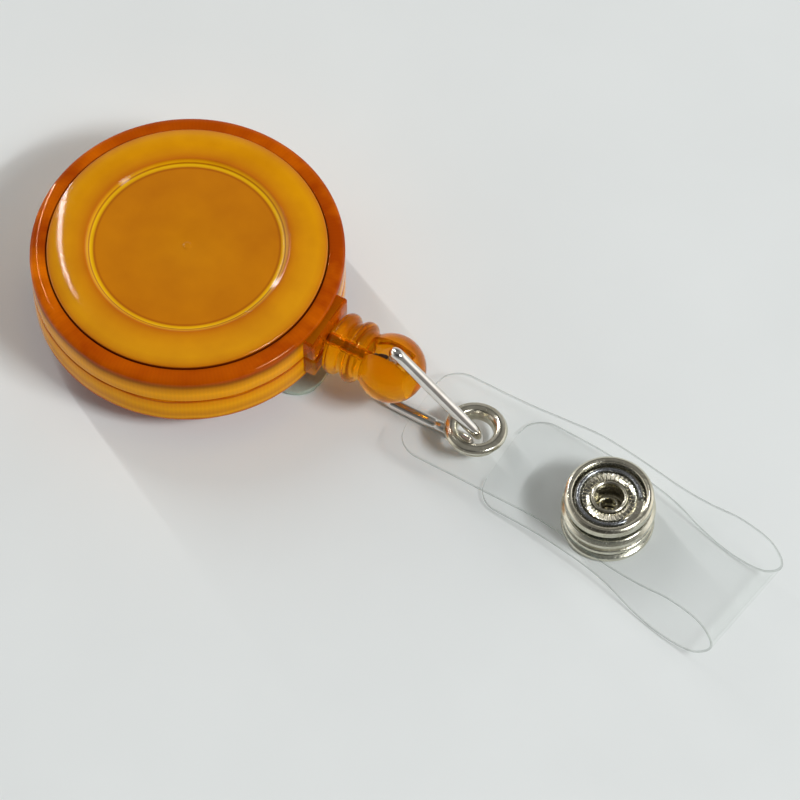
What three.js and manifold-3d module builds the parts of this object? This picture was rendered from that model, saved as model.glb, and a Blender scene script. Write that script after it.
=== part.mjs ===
// Retractable badge reel. A round two-shell case holds a sprung spool of cord. The cord leaves
// through a square boss and ends in a ribbed fitting with a ball; a wire link joins the ball to
// the eyelet of a folded vinyl strap, which a snap fastener closes into a loop for the badge.
// A folded steel clip is riveted under the case.
// Millimetres, +Z up, +X along the cord as it leaves the case. The object lies on z = 0.
import * as THREE from 'three';
import { mergeVertices } from 'three/addons/utils/BufferGeometryUtils.js';
import Module from 'manifold-3d';

// ---- driving dimensions ----
const CASE_RADIUS = 16;
const CASE_BOTTOM = 3;
const CASE_RIM_TOP = 10.6;
const CORD_AXIS = 7; // height of the cord, of the ball and of the seam between the shells
const WALL = 1.3;
const FIT = 0.05; // gap between pieces that touch
const ROUND_STEPS = 56;

const DISC_RADIUS = 14.25;
const DISC_EDGE_TOP = 11;
const DISC_CREST = 11.4;
const DISC_UNDERSIDE = 9.65;
const LABEL_RADIUS = 9.8;
const LABEL_EDGE_RADIUS = 10.4;

const BOSS_END = 16.9;
const BOSS_HALF_WIDTH = 3.4;
const BOSS_HALF_HEIGHT = 2.85;
const BORE_RADIUS = 1.2;

const POST_RADIUS = 3;
const POST_BORE = 2.1;
const POST_TOP = 9.2;
const RIVET_SHANK = 1;

const SPOOL_RADIUS = 13;
const SPOOL_BOTTOM = 4.6;
const SPOOL_TOP = 9;
const DRUM_OUTER = 9.1;
const DRUM_INNER = 8.3;

const SPRING_STRIP = 0.25;
const SPRING_TURNS = 8;
const SPRING_HEIGHT = 3;

const CORD_RADIUS = 0.4;
const WOUND_RADIUS = 11.4;

const RIB_RADIUS = 3.33;
const RIB_CENTRES = [18.2, 20.2];
const FITTING_START = 17.1;
const BALL_X = 23.9;
const BALL_RADIUS = 3.55;
const SLOT_WIDTH = 2.25;

const WIRE_RADIUS = 0.62;

const STRAP_WIDTH = 11.8;
const STRAP_THICKNESS = 0.4;
const STRAP_CORNER = 2.8;
const EYELET_X = 33.6;
const EYELET_HOLE = 1.85;
const SNAP_X = 49.6;
const SNAP_RADIUS = 4.5;

const CLIP_STEEL = 0.6;
const CLIP_HALF_WIDTH = 4.5;
const CLIP_TIP = 16.55;
const CLIP_FOLD_X = -13.9;

// ---- finishes ----
const finish = (color, roughness, metalness) =>
  new THREE.MeshStandardMaterial({ color, roughness, metalness });
const amber = finish(0xd98a00, 0.15, 0);
const nickel = finish(0xc9c7bd, 0.22, 1);
const clipSteel = finish(0xaeb5ab, 0.3, 1);
const springSteel = finish(0x8f9397, 0.3, 1);
const clearVinyl = finish(0xdfe6e2, 0.1, 0);
const blackNylon = finish(0x151515, 0.6, 0);
const whitePlastic = finish(0xe9e2cf, 0.4, 0);

// ---- solids ----
const wasm = await Module();
wasm.setup();

function signedVolume(positions, triangles) {
  const corner = (k) => new THREE.Vector3().fromArray(positions, 3 * triangles[k]);
  let volume = 0;
  for (let k = 0; k < triangles.length; k += 3) {
    volume += corner(k).dot(corner(k + 1).cross(corner(k + 2))) / 6;
  }
  return volume;
}

// A closed three.js geometry as a solid, with its faces turned outwards.
function solid(geometry) {
  const bare = geometry.clone();
  bare.deleteAttribute('normal');
  bare.deleteAttribute('uv');
  const merged = mergeVertices(bare, 1e-5);
  const vertProperties = Float32Array.from(merged.attributes.position.array);
  const triVerts = Uint32Array.from(merged.index.array);
  if (signedVolume(vertProperties, triVerts) < 0) {
    triVerts.reverse();
  }
  return new wasm.Manifold(new wasm.Mesh({ numProp: 3, vertProperties, triVerts }));
}

function geometryOf(body) {
  const result = body.getMesh();
  const geometry = new THREE.BufferGeometry();
  geometry.setAttribute('position', new THREE.BufferAttribute(result.vertProperties, 3));
  geometry.setIndex(new THREE.BufferAttribute(result.triVerts, 1));
  geometry.computeVertexNormals();
  return geometry;
}

// Turns a profile of [radius, height] points about +Z.
function turned(profile, steps = ROUND_STEPS) {
  const points = profile.map(([radius, height]) => new THREE.Vector2(radius, height));
  return new THREE.LatheGeometry(points, steps).rotateX(Math.PI / 2);
}

// The same with its profile closed on itself, for rings.
const turnedRing = (profile, steps) => turned([...profile, profile[0]], steps);

// Turns a profile of [along, radius] points about +X.
function turnedAlongX(profile, steps) {
  const points = profile.map(([along, radius]) => new THREE.Vector2(radius, along));
  return new THREE.LatheGeometry(points, steps).rotateZ(-Math.PI / 2);
}

function disc(radius, bottom, top, steps = 48) {
  return solid(turned([[0, bottom], [radius, bottom], [radius, top], [0, top]], steps));
}

function rodAlongX(radius, start, end, steps = 32) {
  return solid(turnedAlongX([[start, 0], [start, radius], [end, radius], [end, 0]], steps));
}

// Points of an arc about (cx, cy) in a profile, from one angle to another in degrees.
function arc(cx, cy, radius, from, to, steps) {
  return Array.from({ length: steps + 1 }, (_, k) => {
    const angle = THREE.MathUtils.degToRad(from + ((to - from) * k) / steps);
    return [cx + radius * Math.cos(angle), cy + radius * Math.sin(angle)];
  });
}

const outline = (points) => new THREE.Shape(points.map(([x, y]) => new THREE.Vector2(x, y)));

function prism(shape, depth) {
  return new THREE.ExtrudeGeometry(shape, { depth, bevelEnabled: false, curveSegments: 8 });
}

// A shape drawn in (x, z) and stretched along Y, centred on y = 0.
function sidePrism(points, width) {
  return prism(outline(points), width).rotateX(Math.PI / 2).translate(0, width / 2, 0);
}

// A round wire or cord along a curve.
function wire(curve, radius, steps, sides) {
  const section = new THREE.Shape();
  section.absarc(0, 0, radius, 0, 2 * Math.PI);
  return new THREE.ExtrudeGeometry(section, {
    steps,
    extrudePath: curve,
    curveSegments: sides,
    bevelEnabled: false,
  });
}

// A path of straight runs with its corners rounded.
function roundedPath(corners, radius) {
  const path = new THREE.CurvePath();
  let from = corners[0];
  for (let k = 1; k < corners.length - 1; k += 1) {
    const corner = corners[k];
    const back = corner.clone().sub(corners[k - 1]).setLength(radius);
    const ahead = corners[k + 1].clone().sub(corner).setLength(radius);
    const enter = corner.clone().sub(back);
    const leave = corner.clone().add(ahead);
    path.add(new THREE.LineCurve3(from, enter));
    path.add(new THREE.QuadraticBezierCurve3(enter, corner, leave));
    from = leave;
  }
  path.add(new THREE.LineCurve3(from, corners[corners.length - 1]));
  return path;
}

// ---- the assembly ----
const reel = new THREE.Group();

function place(name, shape, material) {
  const geometry = shape.isBufferGeometry ? geometryOf(solid(shape)) : geometryOf(shape);
  const mesh = new THREE.Mesh(geometry, material);
  mesh.name = name;
  reel.add(mesh);
}

// ---- case ----
// The boss stands on the case wall where the cord leaves; the two shells share it at the seam.
function bossHalf(bottom, top) {
  const halfWidth = BOSS_HALF_WIDTH;
  const edge = 0.5;
  const section = new THREE.Shape();
  const isTop = top > CORD_AXIS;
  const flat = isTop ? bottom : top;
  const far = isTop ? top : bottom;
  const inset = isTop ? -edge : edge;
  section.moveTo(-halfWidth, flat);
  section.lineTo(halfWidth, flat);
  section.lineTo(halfWidth, far + inset);
  section.quadraticCurveTo(halfWidth, far, halfWidth - edge, far);
  section.lineTo(-halfWidth + edge, far);
  section.quadraticCurveTo(-halfWidth, far, -halfWidth, far + inset);
  const start = CASE_RADIUS - WALL - 0.2;
  // The section is drawn in (y, z) and stretched along +X.
  const geometry = prism(section, BOSS_END - start);
  geometry.rotateX(Math.PI / 2).rotateZ(Math.PI / 2).translate(start, 0, 0);
  return solid(geometry);
}

// The cord's way out: a straight bore, flared where the cord comes off the spool.
function cordBore() {
  const inner = CASE_RADIUS - WALL - 1;
  const flareEnd = CASE_RADIUS - 0.4;
  const mouth = BOSS_END + 0.5;
  const profile = [
    [inner, 0],
    [inner, BORE_RADIUS + 1],
    [flareEnd, BORE_RADIUS],
    [BOSS_END - 0.4, BORE_RADIUS],
    [mouth, BORE_RADIUS + 0.6],
    [mouth, 0],
  ];
  return solid(turnedAlongX(profile, 32).translate(0, 0, CORD_AXIS));
}

function frontShell() {
  const inner = CASE_RADIUS - WALL;
  const seat = DISC_RADIUS + 0.1;
  const seam = CORD_AXIS + FIT;
  const seatHeight = DISC_UNDERSIDE - FIT;
  const ring = turnedRing([
    [inner, seam],
    [CASE_RADIUS, seam],
    [CASE_RADIUS, CASE_RIM_TOP - 0.7],
    ...arc(CASE_RADIUS - 0.7, CASE_RIM_TOP - 0.7, 0.7, 15, 75, 3),
    [CASE_RADIUS - 0.7, CASE_RIM_TOP],
    [seat, CASE_RIM_TOP],
    [seat, seatHeight],
    [SPOOL_RADIUS + 0.4, seatHeight],
    [SPOOL_RADIUS + 0.4, SPOOL_TOP],
    [inner, SPOOL_TOP],
  ]);
  return solid(ring).add(bossHalf(seam, CORD_AXIS + BOSS_HALF_HEIGHT)).subtract(cordBore());
}

function backShell() {
  const inner = CASE_RADIUS - WALL;
  const seam = CORD_AXIS - FIT;
  const floor = CASE_BOTTOM + WALL;
  const bowl = turnedRing([
    [RIVET_SHANK + 0.1, CASE_BOTTOM],
    [CASE_RADIUS - 0.8, CASE_BOTTOM],
    ...arc(CASE_RADIUS - 0.8, CASE_BOTTOM + 0.8, 0.8, -75, -15, 3),
    [CASE_RADIUS, CASE_BOTTOM + 0.8],
    [CASE_RADIUS, seam],
    [inner, seam],
    [inner, floor],
    [POST_RADIUS, floor],
    [POST_RADIUS, POST_TOP],
    [POST_BORE, POST_TOP],
    [POST_BORE, floor],
    [RIVET_SHANK + 0.1, floor],
  ]);
  // The post is slotted on one side for the inner end of the spring.
  const slotWidth = 0.6;
  const slotBottom = 5.4;
  const slot = new THREE.BoxGeometry(POST_RADIUS, slotWidth, POST_TOP);
  slot.translate(-POST_RADIUS, 0, slotBottom + POST_TOP / 2);
  return solid(bowl)
    .add(bossHalf(CORD_AXIS - BOSS_HALF_HEIGHT, seam))
    .subtract(cordBore())
    .subtract(solid(slot));
}

// The domed front disc, with a shallow round recess for a label.
function faceDisc() {
  const profile = [
    [0, DISC_UNDERSIDE],
    [DISC_RADIUS, DISC_UNDERSIDE],
    [DISC_RADIUS, DISC_EDGE_TOP - 0.15],
    [DISC_RADIUS - 0.15, DISC_EDGE_TOP],
    [12.6, DISC_EDGE_TOP + 0.22],
    [11.2, DISC_CREST - 0.04],
    [LABEL_EDGE_RADIUS, DISC_CREST],
    [LABEL_RADIUS + 0.15, DISC_EDGE_TOP + 0.08],
    [LABEL_RADIUS, DISC_EDGE_TOP],
    [0, DISC_EDGE_TOP],
  ];
  return turned(profile);
}

place('front_shell', frontShell(), amber);
place('face_disc', faceDisc(), amber);
place('back_shell', backShell(), amber);

// ---- spool, spring and the cord wound on it ----
function spool() {
  const webTop = SPOOL_BOTTOM + 0.7;
  const flangeBottom = SPOOL_TOP - 0.5;
  const bore = POST_RADIUS + 0.15;
  return turnedRing([
    [bore, SPOOL_BOTTOM],
    [SPOOL_RADIUS, SPOOL_BOTTOM],
    [SPOOL_RADIUS, webTop],
    [DRUM_OUTER, webTop],
    [DRUM_OUTER, flangeBottom],
    [SPOOL_RADIUS, flangeBottom],
    [SPOOL_RADIUS, SPOOL_TOP],
    [DRUM_INNER, SPOOL_TOP],
    [DRUM_INNER, webTop],
    [bore, webTop],
  ]);
}

// A spiral steel strip; its inner end is bent into the slot of the fixed post.
function powerSpring() {
  const first = POST_RADIUS + 0.35;
  const last = DRUM_INNER - 0.15 - SPRING_STRIP;
  const steps = SPRING_TURNS * 20;
  const side = (extra) =>
    Array.from({ length: steps + 1 }, (_, k) => {
      const part = k / steps;
      const radius = first + (last - first) * part + extra;
      const angle = Math.PI + 2 * Math.PI * SPRING_TURNS * part;
      return [radius * Math.cos(angle), radius * Math.sin(angle)];
    });
  const tab = POST_BORE + 0.35;
  const innerSide = side(0);
  const outerSide = side(SPRING_STRIP);
  const half = SPRING_STRIP / 2;
  innerSide[0] = [-first, -half];
  outerSide[0] = [-first - SPRING_STRIP, half];
  const strip = outline([[-tab, half], [-tab, -half], ...innerSide, ...outerSide.reverse()]);
  return prism(strip, SPRING_HEIGHT).translate(0, 0, SPOOL_BOTTOM + 0.9);
}

function woundCord() {
  const bottom = SPOOL_BOTTOM + 0.85;
  const top = SPOOL_TOP - 0.65;
  const inner = DRUM_OUTER + FIT;
  const side = WOUND_RADIUS - 0.3;
  return turnedRing([
    [inner, bottom],
    [side, bottom],
    [WOUND_RADIUS, bottom + 0.5],
    [WOUND_RADIUS, top - 0.5],
    [side, top],
    [inner, top],
  ]);
}

const at = (x, y, z) => new THREE.Vector3(x, y, z);

// From its tangent point on the wound cord to the end of the boss.
function cordRun() {
  const route = [
    at(9.7, -7.1, CORD_AXIS),
    at(11.9, -4.2, CORD_AXIS),
    at(13.6, -1.9, CORD_AXIS),
    at(14.8, -0.6, CORD_AXIS),
    at(15.9, -0.08, CORD_AXIS),
    at(BOSS_END - 0.1, 0, CORD_AXIS),
  ];
  return wire(new THREE.CatmullRomCurve3(route), CORD_RADIUS, 14, 3);
}

place('spool', spool(), whitePlastic);
place('power_spring', powerSpring(), springSteel);
place('wound_cord', woundCord(), blackNylon);
place('cord_run', cordRun(), blackNylon);

// ---- clip and its rivet ----
// One strip folded back on itself. It is parted at the fold: the upper leg is riveted to the
// case and the lower leg is the tongue.
const FOLD_RADIUS = (CASE_BOTTOM - FIT) / 2;

function clipBase() {
  const top = CASE_BOTTOM - FIT;
  const end = 8.5;
  const side = sidePrism([
    [end, top],
    ...arc(CLIP_FOLD_X, FOLD_RADIUS, FOLD_RADIUS, 90, 270, 10),
    ...arc(CLIP_FOLD_X, FOLD_RADIUS, FOLD_RADIUS - CLIP_STEEL, 270, 90, 8),
    [end, top - CLIP_STEEL],
  ], 2 * CLIP_HALF_WIDTH);
  return solid(side).intersect(clipOutline(end)).subtract(disc(RIVET_SHANK + 0.08, -1, top + 1));
}

// The clip's plan shape: straight sides and rounded corners at the free end.
function clipOutline(end) {
  const corner = 2.8;
  const half = CLIP_HALF_WIDTH;
  const start = CLIP_FOLD_X - 3;
  const plan = outline([
    [start, -half],
    ...arc(end - corner, -half + corner, corner, -90, 0, 6),
    ...arc(end - corner, half - corner, corner, 0, 90, 6),
    [start, half],
  ]);
  return solid(prism(plan, CASE_BOTTOM + 2).translate(0, 0, -1));
}

// The tongue lies on the surface and rises in a ridge that grips what the clip is pushed over.
function clipTongue() {
  const start = CLIP_FOLD_X + 0.3;
  const ridge = 1.35;
  const steel = CLIP_STEEL;
  const under = [[start, 0], [3.5, 0], [6.9, ridge], [7.7, ridge], [11, 0], [CLIP_TIP, 0]];
  const over = [[CLIP_TIP, steel], [11.3, steel], [8, ridge + steel], [6.6, ridge + steel],
    [3.2, steel], [start, steel]];
  const side = sidePrism([...under, ...over], 2 * CLIP_HALF_WIDTH);
  return solid(side).intersect(clipOutline(CLIP_TIP));
}

function clipRivet() {
  const legBottom = CASE_BOTTOM - FIT - CLIP_STEEL;
  const hollow = 0.6;
  const headBottom = legBottom - 0.45;
  const floor = CASE_BOTTOM + WALL;
  return turnedRing([
    [hollow, headBottom],
    [1.9, headBottom],
    [2.2, headBottom + 0.2],
    [2.2, legBottom - FIT],
    [RIVET_SHANK, legBottom - FIT],
    [RIVET_SHANK, floor + FIT],
    [1.8, floor + FIT],
    [1.8, floor + 0.4],
    [hollow, floor + 0.4],
  ], 32);
}

place('clip_base', clipBase(), clipSteel);
place('clip_tongue', clipTongue(), clipSteel);
place('clip_rivet', clipRivet(), nickel);

// ---- cord end: fitting, the cord in it and its knot ----
function ribbedFitting() {
  const rib = (x) => arc(x, RIB_RADIUS - 0.8, 0.8, 170, 10, 5);
  const neckX = 21.4;
  const neckAngle = THREE.MathUtils.radToDeg(Math.acos((neckX - BALL_X) / BALL_RADIUS));
  const body = turnedAlongX([
    [FITTING_START, 0],
    [FITTING_START, 2.3],
    ...rib(RIB_CENTRES[0]),
    ...rib(RIB_CENTRES[1]),
    ...arc(BALL_X, 0, BALL_RADIUS, neckAngle, 0, 10).slice(0, -1),
    [BALL_X + BALL_RADIUS, 0],
  ], 32).translate(0, 0, CORD_AXIS);
  // The slot runs right through the ball, narrow at its middle so that the link can rock.
  const waistBack = 2.4;
  const waistAhead = 1.6;
  const mouthBack = 2.7;
  const mouthAhead = 2.6;
  const reach = BALL_RADIUS + 1;
  const slot = sidePrism([
    [-mouthBack, -reach],
    [mouthAhead, -reach],
    [waistAhead, 0],
    [mouthAhead, reach],
    [-mouthBack, reach],
    [-waistBack, 0],
  ], SLOT_WIDTH).translate(BALL_X, 0, CORD_AXIS);
  const cordHole = rodAlongX(CORD_RADIUS + 0.15, FITTING_START - 1, BALL_X, 16);
  return solid(body).subtract(solid(slot)).subtract(cordHole.translate([0, 0, CORD_AXIS]));
}

const LEAD_END = BALL_X - 2.4;

function cordLead() {
  return rodAlongX(CORD_RADIUS, FITTING_START, LEAD_END, 10).translate([0, 0, CORD_AXIS]);
}

function cordKnot() {
  const knot = new THREE.SphereGeometry(0.5, 14, 10);
  return knot.scale(0.9, 1.4, 1.3).translate(LEAD_END + 0.5, 0, CORD_AXIS);
}

place('cord_end_fitting', ribbedFitting(), amber);
place('cord_lead', cordLead(), blackNylon);
place('cord_knot', cordKnot(), blackNylon);

// ---- wire link ----
// Up through the ball's slot, where it leans a little, down to the eyelet, through it and back
// along the surface. The two ends of the wire meet with a small gap in the lower run.
function wireLink() {
  const low = WIRE_RADIUS + 0.02;
  const far = EYELET_X + 0.4;
  const side = -0.2; // the lower run and the eyelet's end lie this far off the middle
  const corners = [
    at(29.1, side, low),
    at(23.5, side, low),
    at(24.5, -0.3, 10.2),
    at(24.8, -0.85, 12.15),
    at(far, side, 2.9),
    at(far, side, low),
    at(29.4, side, low),
  ];
  return wire(roundedPath(corners, 0.95), WIRE_RADIUS, 72, 4);
}

place('wire_link', wireLink(), nickel);

// ---- strap ----
// The strap's middle line seen from the side, from the eyelet end over the snap, round the loop
// and back to the end of the flap: [x, height].
const STRAP_SIDE = [
  [27.2, 2.3], [31, 2.3], [EYELET_X, 2.3], [37, 2.35], [41, 3], [44.5, 4.12], [SNAP_X, 4.15],
  [54.4, 4.2], [57.9, 4.85], [61.4, 6.0], [65, 5.65], [66.85, 3.3], [65.3, 1.15],
  [61.4, 0.34], [57.4, 0.45], [54, 1.05], [SNAP_X, 1.1], [45, 1.05], [41, 0.55], [36.8, 0.35],
];
const LOOP_TURN = 10.5; // counted in the points above: where the flap parts from the upper layer
const strapCurve = new THREE.CatmullRomCurve3(
  STRAP_SIDE.map(([x, height]) => at(x, 0, height)), false, 'centripetal');

// Seen from above the strap bends to one side between the eyelet and the snap and is straight
// past it. These are its middle line's slope and y at x.
const STRAP_BEND = 0.0097; // change of slope per millimetre
const STRAP_START_Y = 0.2;
const EYELET_ROLL = 6; // degrees the eyelet's end is rolled about X, +Y side down, gone at the snap
const LOOP_DRIFT = 1.1; // how far the lower side of the loop hangs over towards -Y
const bendRun = (x) => THREE.MathUtils.clamp(x - EYELET_X, 0, SNAP_X - EYELET_X);
const strapSlope = (x) => -STRAP_BEND * bendRun(x);
const strapY = (x) => {
  const straight = Math.max(x - SNAP_X, 0);
  return STRAP_START_Y + strapSlope(x) * (bendRun(x) / 2 + straight);
};
const strapRoll = (x) =>
  -THREE.MathUtils.degToRad(EYELET_ROLL) * (1 - THREE.MathUtils.smoothstep(x, EYELET_X, SNAP_X - 3));

// Sideways drift of the loop at a place counted in the points of STRAP_SIDE.
function loopDrift(place) {
  const rise = THREE.MathUtils.smoothstep(place, 10, 12.8);
  const fall = THREE.MathUtils.smoothstep(place, 12.8, 16);
  return LOOP_DRIFT * rise * (1 - fall);
}

// A flat strip bent along the middle line between two of its parameters. Only the upper layer
// is rolled at the eyelet's end.
function bentStrip(from, to, steps, rolled) {
  const strip = new THREE.BoxGeometry(1, STRAP_WIDTH, STRAP_THICKNESS, steps, 1, 1);
  const position = strip.attributes.position;
  for (let k = 0; k < position.count; k += 1) {
    const t = from + (to - from) * (position.getX(k) + 0.5);
    const middle = strapCurve.getPoint(t);
    const run = strapCurve.getTangent(t);
    const across = at(-strapSlope(middle.x), 1, 0).normalize();
    const along = at(run.x, strapSlope(middle.x) * run.x, run.z).normalize();
    if (rolled) {
      across.applyAxisAngle(along, strapRoll(middle.x));
    }
    const up = along.clone().cross(across).normalize();
    middle.y = strapY(middle.x) - loopDrift(t * (STRAP_SIDE.length - 1));
    middle.addScaledVector(across, position.getY(k)).addScaledVector(up, position.getZ(k));
    position.setXYZ(k, middle.x, middle.y, middle.z);
  }
  return solid(strip);
}

// Keeps the strap behind a rounded end that starts at x and faces -X.
function roundedEnd(x) {
  const half = STRAP_WIDTH / 2;
  const wide = 20;
  const shape = outline([
    ...arc(STRAP_CORNER, -half + STRAP_CORNER, STRAP_CORNER, 180, 270, 6),
    [2 * STRAP_CORNER, -half],
    [2 * STRAP_CORNER, -wide],
    [3 * wide, -wide],
    [3 * wide, wide],
    [2 * STRAP_CORNER, wide],
    [2 * STRAP_CORNER, half],
    ...arc(STRAP_CORNER, half - STRAP_CORNER, STRAP_CORNER, 90, 180, 6),
  ]);
  const block = prism(shape, 30).translate(0, 0, -10);
  return solid(block.rotateZ(Math.atan(strapSlope(x))).translate(x, strapY(x), 0));
}

const throughHole = (radius, x) => disc(radius, -1, 12).translate([x, strapY(x), 0]);
const turnAt = LOOP_TURN / (STRAP_SIDE.length - 1);
const turnGap = 0.003;

const strapUpper = bentStrip(0, turnAt - turnGap, 42, true)
  .intersect(roundedEnd(27.22))
  .subtract(throughHole(2.4, EYELET_X))
  .subtract(throughHole(1.95, SNAP_X));
const strapFlap = bentStrip(turnAt + turnGap, 1, 34, false)
  .intersect(roundedEnd(36.82))
  .subtract(throughHole(0.95, SNAP_X));

place('strap_upper', strapUpper, clearVinyl);
place('strap_flap', strapFlap, clearVinyl);

// ---- eyelet and snap fastener: rings standing on the strap's middle line ----
function ringOnStrap(name, x, profile, middle = 0, roll = 0) {
  const ring = turnedRing(profile, 32).translate(0, 0, -middle).rotateX(roll);
  place(name, ring.translate(x, strapY(x), middle), nickel);
}

ringOnStrap('eyelet', EYELET_X, [
  [EYELET_HOLE, 1.85],
  [2.1, 1.65],
  [2.6, 1.65],
  [2.8, 1.85],
  [2.7, 2.05],
  [2.25, 2.05],
  [2.25, 2.55],
  [3.1, 2.55],
  [3.3, 2.85],
  [3.05, 3.2],
  [2.55, 3.35],
  [2.1, 3.2],
  [EYELET_HOLE, 2.85],
], 2.3, strapRoll(EYELET_X));

ringOnStrap('snap_socket', SNAP_X, [
  [1.95, 4.5],
  [4.4, 4.5],
  [SNAP_RADIUS, 4.8],
  [SNAP_RADIUS, 5.35],
  [4.45, 5.7],
  [4.1, 5.75],
  [3.75, 5.6],
  [3.6, 5.2],
  [3.55, 4.8],
  [2.75, 4.8],
  [2.7, 5.1],
  [1.95, 5.1],
]);

ringOnStrap('snap_socket_post', SNAP_X, [
  [1.5, 2.55],
  [4.3, 2.55],
  [4.75, 2.9],
  [4.75, 3.3],
  [4.4, 3.75],
  [1.85, 3.8],
  [1.85, 5.2],
  [1.65, 5.3],
  [1.5, 5.2],
]);

ringOnStrap('snap_stud', SNAP_X, [
  [0.75, 1.4],
  [4.35, 1.4],
  [4.7, 1.65],
  [4.6, 2.0],
  [3.6, 2.35],
  [1.3, 2.35],
  [0.95, 2.6],
  [0.95, 3.0],
  [1.1, 3.3],
  [0.95, 3.6],
  [0.75, 3.6],
]);

ringOnStrap('snap_stud_post', SNAP_X, [
  [0.4, 0.02],
  [4.3, 0.02],
  [4.75, 0.3],
  [4.65, 0.65],
  [4.3, 0.82],
  [0.7, 0.82],
  [0.7, 1.9],
  [0.4, 1.9],
]);

// An open wire ring that lies in the socket's groove and grips the stud.
function snapSpring() {
  const turn = [];
  for (let angle = 30; angle <= 330; angle += 15) {
    const radians = THREE.MathUtils.degToRad(angle);
    turn.push(at(3.15 * Math.cos(radians), 3.15 * Math.sin(radians), 5.1));
  }
  const ring = wire(new THREE.CatmullRomCurve3(turn), 0.22, 40, 2);
  return ring.translate(SNAP_X, strapY(SNAP_X), 0);
}

place('snap_spring', snapSpring(), springSteel);

// ---- origin at the middle of the underside of the whole object ----
const extent = new THREE.Box3().setFromObject(reel);
const centre = extent.getCenter(new THREE.Vector3());
reel.position.set(-centre.x, -centre.y, -extent.min.z);
reel.updateMatrixWorld(true);

export default reel;
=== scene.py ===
import math

import bmesh
import bpy
import numpy as np
from mathutils import Matrix, Quaternion, Vector


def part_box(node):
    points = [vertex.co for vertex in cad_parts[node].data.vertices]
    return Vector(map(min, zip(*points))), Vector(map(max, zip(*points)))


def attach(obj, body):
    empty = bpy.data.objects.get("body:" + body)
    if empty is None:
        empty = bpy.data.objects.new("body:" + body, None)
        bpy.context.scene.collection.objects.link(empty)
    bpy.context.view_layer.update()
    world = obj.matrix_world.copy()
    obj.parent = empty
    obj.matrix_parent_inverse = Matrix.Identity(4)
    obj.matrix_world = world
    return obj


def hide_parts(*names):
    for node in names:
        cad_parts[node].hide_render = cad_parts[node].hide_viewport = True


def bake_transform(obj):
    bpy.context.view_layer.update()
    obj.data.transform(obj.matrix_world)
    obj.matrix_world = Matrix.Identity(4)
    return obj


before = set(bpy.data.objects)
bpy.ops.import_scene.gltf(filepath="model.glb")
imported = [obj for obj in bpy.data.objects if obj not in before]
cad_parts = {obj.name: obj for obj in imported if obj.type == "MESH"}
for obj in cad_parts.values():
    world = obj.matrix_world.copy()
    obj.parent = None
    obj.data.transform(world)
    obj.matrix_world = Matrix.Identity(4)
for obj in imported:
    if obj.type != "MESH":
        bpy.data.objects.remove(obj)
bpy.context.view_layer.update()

MM = 0.001


def middle_of(node):
    low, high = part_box(node)
    return (low + high) / 2


# Shapes are drawn in millimetres with x = y = 0 on the case's axis and z = 0 on the floor.
disc_middle = middle_of("face_disc")
CASE = Vector((disc_middle.x, disc_middle.y, 0))


def drawn(point):
    """A point of the frame, in the drawing's millimetres."""
    return (Vector(point) - CASE) / MM


def in_frame(x, y, z):
    return CASE + Vector((x, y, z)) * MM


# ---------------------------------------------------------------- mesh tools
def mesh_object(name, vertices, faces, sharp=32):
    mesh = bpy.data.meshes.new(name)
    mesh.from_pydata([tuple(in_frame(*v)) for v in vertices], [], faces)
    work = bmesh.new()
    work.from_mesh(mesh)
    bmesh.ops.remove_doubles(work, verts=work.verts, dist=1e-7)
    bmesh.ops.recalc_face_normals(work, faces=work.faces)
    work.to_mesh(mesh)
    work.free()
    obj = bpy.data.objects.new(name, mesh)
    bpy.context.scene.collection.objects.link(obj)
    shade(obj, sharp)
    return obj


def shade(obj, sharp=32):
    obj.data.shade_smooth()
    obj.data.set_sharp_from_angle(angle=math.radians(sharp))


def fillet(profile, closed=True, steps=5):
    """Rounds the corners of a profile of (a, b) or (a, b, corner radius)."""
    count = len(profile)
    points = []
    for k, corner in enumerate(profile):
        here = Vector(corner[:2])
        radius = corner[2] if len(corner) > 2 else 0
        if radius <= 0 or (not closed and k in (0, count - 1)):
            points.append(tuple(here))
            continue
        back = Vector(profile[k - 1][:2]) - here
        ahead = Vector(profile[(k + 1) % count][:2]) - here
        angle = back.angle(ahead)
        cut = radius / math.tan(angle / 2)
        cut = min(cut, 0.48 * back.length, 0.48 * ahead.length)
        radius = cut * math.tan(angle / 2)
        centre = here + (back.normalized() + ahead.normalized()).normalized() * (
            radius / math.sin(angle / 2))
        first = here + back.normalized() * cut - centre
        last = here + ahead.normalized() * cut - centre
        sweep = first.angle(last)
        for i in range(steps + 1):
            part = i / steps
            spoke = first * math.sin((1 - part) * sweep) + last * math.sin(part * sweep)
            points.append(tuple(centre + spoke / math.sin(sweep)))
    return points


def lathe(name, profile, steps, place=None, wave=None, sharp=32):
    """Turns (radius, height) about Z. A profile that starts on the axis also ends there."""
    poles = profile[0][0] < 1e-6
    rings, vertices = [], []
    for radius, height in profile:
        if radius < 1e-6:
            rings.append([len(vertices)])
            vertices.append(Vector((0, 0, height)))
            continue
        rings.append(list(range(len(vertices), len(vertices) + steps)))
        for k in range(steps):
            turn = 2 * math.pi * k / steps
            lift = wave(radius, height, turn) if wave else 0
            vertices.append(Vector((radius * math.cos(turn), radius * math.sin(turn),
                                    height + lift)))
    faces = []
    pairs = list(zip(rings, rings[1:])) + ([] if poles else [(rings[-1], rings[0])])
    for a, b in pairs:
        for k in range(steps):
            n = (k + 1) % steps
            if len(a) == 1 and len(b) == 1:
                break
            if len(a) == 1:
                faces.append((a[0], b[k], b[n]))
            elif len(b) == 1:
                faces.append((a[k], b[0], a[n]))
            else:
                faces.append((a[k], b[k], b[n], a[n]))
    if place:
        vertices = [place @ v for v in vertices]
    return mesh_object(name, vertices, faces, sharp)


ALONG_X = Matrix.Rotation(math.pi / 2, 4, "Y")


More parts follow.
